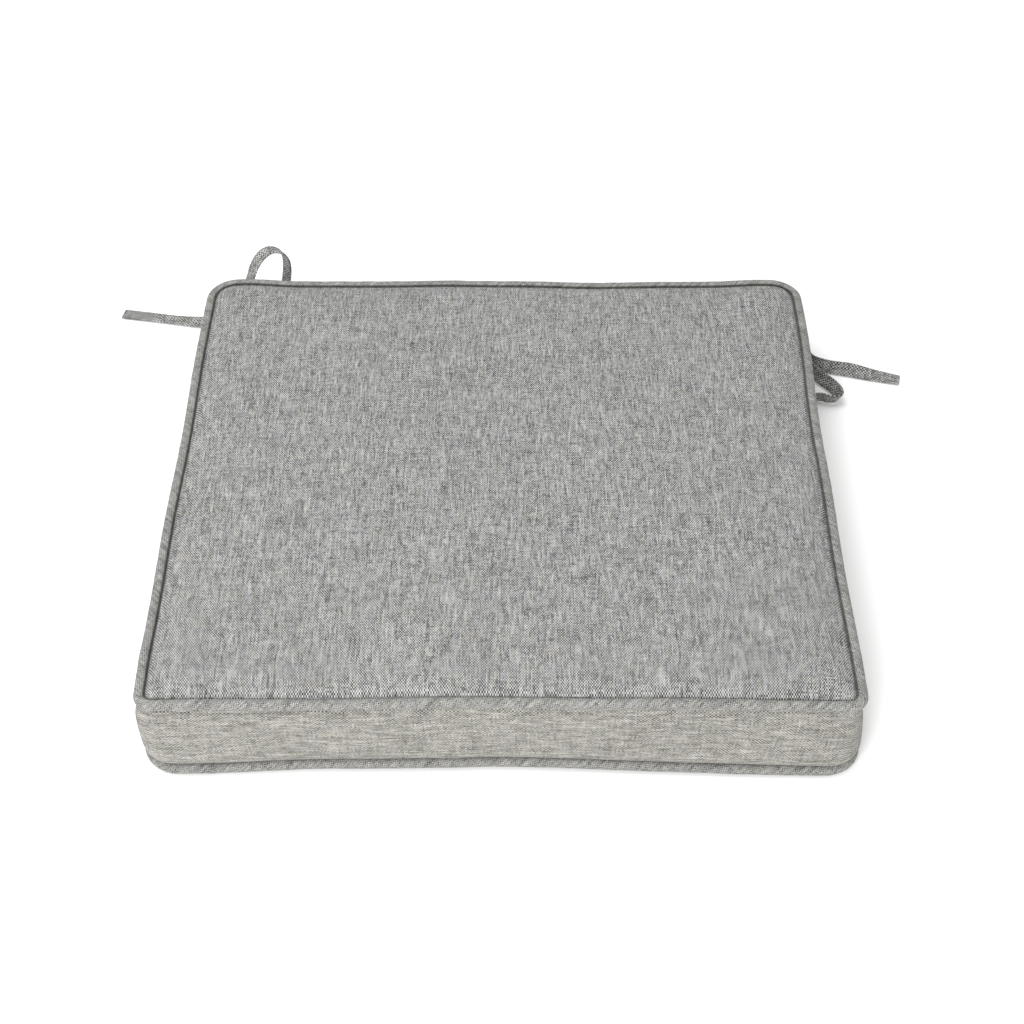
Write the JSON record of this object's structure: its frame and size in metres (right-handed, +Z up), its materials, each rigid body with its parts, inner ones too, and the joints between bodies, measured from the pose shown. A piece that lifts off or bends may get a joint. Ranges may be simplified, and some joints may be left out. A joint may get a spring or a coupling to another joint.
{
  "type": "chair seat pad",
  "caption": "Box-edged seat pad for a chair: piped woven cover over a foam core, zip in the back edge and flat fabric ties at the back corners.",
  "frame": {"origin": "centre of the pad's underside, on the surface it rests on", "axes": "+Z up through the pad's thickness, +X along its width to the right, +Y from the front edge to the back edge, where the zip and the ties are"},
  "size_m": [0.6906, 0.5405, 0.076],
  "materials": {
    "panel_fabric": "heather grey woven polyester, plain weave with slubs, matt",
    "boxing_fabric": "the same heather grey cloth cut across the roll, matt",
    "piping_fabric": "the same heather grey cloth cut on the bias, matt",
    "tie_fabric": "the same heather grey cloth folded and edge-stitched, matt",
    "piping_cord": "twisted white cotton-polyester filler cord",
    "foam": "cream open-cell polyurethane foam",
    "batting": "white polyester batting",
    "zip_tape": "grey herringbone polyester zip tape",
    "zip_coil": "grey moulded nylon coil, satin",
    "zip_metal": "nickel-plated die-cast zinc, satin"
  },
  "bodies": {
    "pad": {"top_panel": "panel_fabric", "bottom_panel": "panel_fabric", "boxing_band": "boxing_fabric", "zip_boxing_upper": "boxing_fabric", "zip_boxing_lower": "boxing_fabric", "top_piping_cover": "piping_fabric", "bottom_piping_cover": "piping_fabric", "top_piping_cord": "piping_cord", "bottom_piping_cord": "piping_cord", "foam_core": "foam", "top_batting": "batting", "bottom_batting": "batting", "zip_tape_upper": "zip_tape", "zip_tape_lower": "zip_tape", "zip_coil_upper": "zip_coil", "zip_coil_lower": "zip_coil", "zip_top_stop_upper": "zip_metal", "zip_top_stop_lower": "zip_metal", "zip_bottom_stop": "zip_metal", "left_tie_straight": "tie_fabric", "left_tie_loop": "tie_fabric", "right_tie_straight": "tie_fabric", "right_tie_loop": "tie_fabric"},
    "slider": {"zip_slider": "zip_metal"},
    "pull_tab": {"zip_pull_tab": "zip_metal"}
  },
  "joints": [
    {"name": "zip_slide", "type": "slide", "parent": "pad", "child": "slider", "axis": [-1, 0, 0], "range_m": [0, 0.387]},
    {"name": "pull_tab_hinge", "type": "hinge", "parent": "slider", "child": "pull_tab", "pos_m": [0.1937, 0.2403, 0.036], "axis": [0, 0, -1], "range_deg": [0, 180]}
  ]
}
